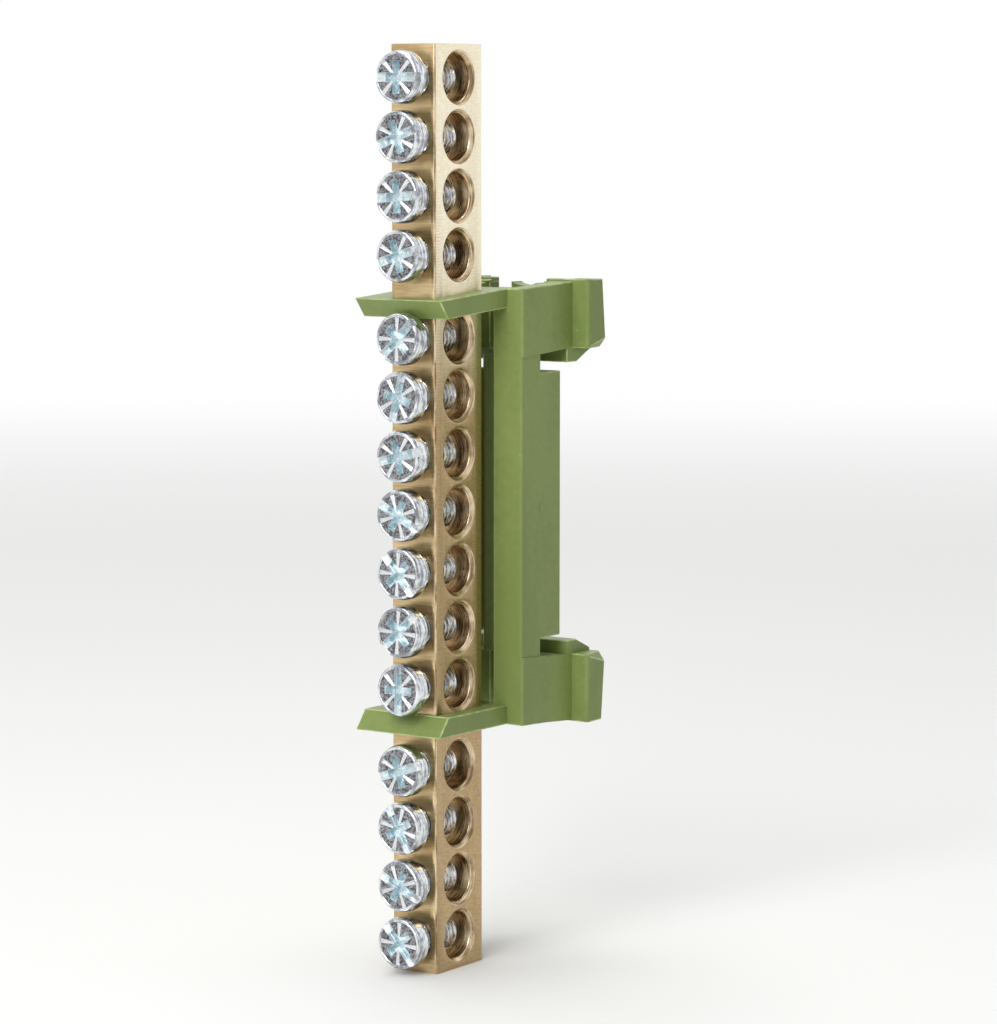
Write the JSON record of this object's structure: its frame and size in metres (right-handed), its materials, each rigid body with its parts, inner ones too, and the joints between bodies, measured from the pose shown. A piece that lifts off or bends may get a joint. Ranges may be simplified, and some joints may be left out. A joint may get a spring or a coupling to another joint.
{
  "type": "din rail busbar terminal block",
  "caption": "Brass terminal bar with slotted clamping screws and cross-drilled wire holes, held upright in a moulded clip-on holder for a 35 mm mounting rail.",
  "frame": {"origin": "middle of the holder's back face, where it seats on the front of the mounting rail, on the rail's centre line", "axes": "+Z along the terminal bar, +Y into the rail and away from the screw heads, +X to the right when seen from the front"},
  "size_m": [0.0186, 0.0279, 0.1036],
  "materials": {
    "holder_plastic": "satin olive-green moulded polyamide",
    "bar_brass": "drawn and milled brass, untreated",
    "screw_steel": "bright zinc-plated steel"
  },
  "bodies": {
    "root": {"holder": "holder_plastic", "busbar": "bar_brass"},
    "screw_01": {"screw_01": "screw_steel"},
    "screw_02": {"screw_02": "screw_steel"},
    "screw_03": {"screw_03": "screw_steel"},
    "screw_04": {"screw_04": "screw_steel"},
    "screw_05": {"screw_05": "screw_steel"},
    "screw_06": {"screw_06": "screw_steel"},
    "screw_07": {"screw_07": "screw_steel"},
    "screw_08": {"screw_08": "screw_steel"},
    "screw_09": {"screw_09": "screw_steel"},
    "screw_10": {"screw_10": "screw_steel"},
    "screw_11": {"screw_11": "screw_steel"},
    "screw_12": {"screw_12": "screw_steel"},
    "screw_13": {"screw_13": "screw_steel"},
    "screw_14": {"screw_14": "screw_steel"},
    "screw_15": {"screw_15": "screw_steel"}
  },
  "joints": [
    {"name": "screw_01_travel", "type": "slide", "parent": "root", "child": "screw_01", "axis": [0, 1, 0], "range_m": [-0.0042, 0.0006]},
    {"name": "screw_02_travel", "type": "slide", "parent": "root", "child": "screw_02", "axis": [0, 1, 0], "range_m": [-0.0042, 0.0006]},
    {"name": "screw_03_travel", "type": "slide", "parent": "root", "child": "screw_03", "axis": [0, 1, 0], "range_m": [-0.0042, 0.0006]},
    {"name": "screw_04_travel", "type": "slide", "parent": "root", "child": "screw_04", "axis": [0, 1, 0], "range_m": [-0.0042, 0.0006]},
    {"name": "screw_05_travel", "type": "slide", "parent": "root", "child": "screw_05", "axis": [0, 1, 0], "range_m": [-0.0042, 0.0003]},
    {"name": "screw_06_travel", "type": "slide", "parent": "root", "child": "screw_06", "axis": [0, 1, 0], "range_m": [-0.0042, 0.0006]},
    {"name": "screw_07_travel", "type": "slide", "parent": "root", "child": "screw_07", "axis": [0, 1, 0], "range_m": [-0.0042, 0.0006]},
    {"name": "screw_08_travel", "type": "slide", "parent": "root", "child": "screw_08", "axis": [0, 1, 0], "range_m": [-0.0042, 0.0006]},
    {"name": "screw_09_travel", "type": "slide", "parent": "root", "child": "screw_09", "axis": [0, 1, 0], "range_m": [-0.0042, 0.0006]},
    {"name": "screw_10_travel", "type": "slide", "parent": "root", "child": "screw_10", "axis": [0, 1, 0], "range_m": [-0.0042, 0.0006]},
    {"name": "screw_11_travel", "type": "slide", "parent": "root", "child": "screw_11", "axis": [0, 1, 0], "range_m": [-0.0042, 0.0006]},
    {"name": "screw_12_travel", "type": "slide", "parent": "root", "child": "screw_12", "axis": [0, 1, 0], "range_m": [-0.0042, 0.0006]},
    {"name": "screw_13_travel", "type": "slide", "parent": "root", "child": "screw_13", "axis": [0, 1, 0], "range_m": [-0.0042, 0.0006]},
    {"name": "screw_14_travel", "type": "slide", "parent": "root", "child": "screw_14", "axis": [0, 1, 0], "range_m": [-0.0042, 0.0006]},
    {"name": "screw_15_travel", "type": "slide", "parent": "root", "child": "screw_15", "axis": [0, 1, 0], "range_m": [-0.0042, 0.0006]}
  ]
}
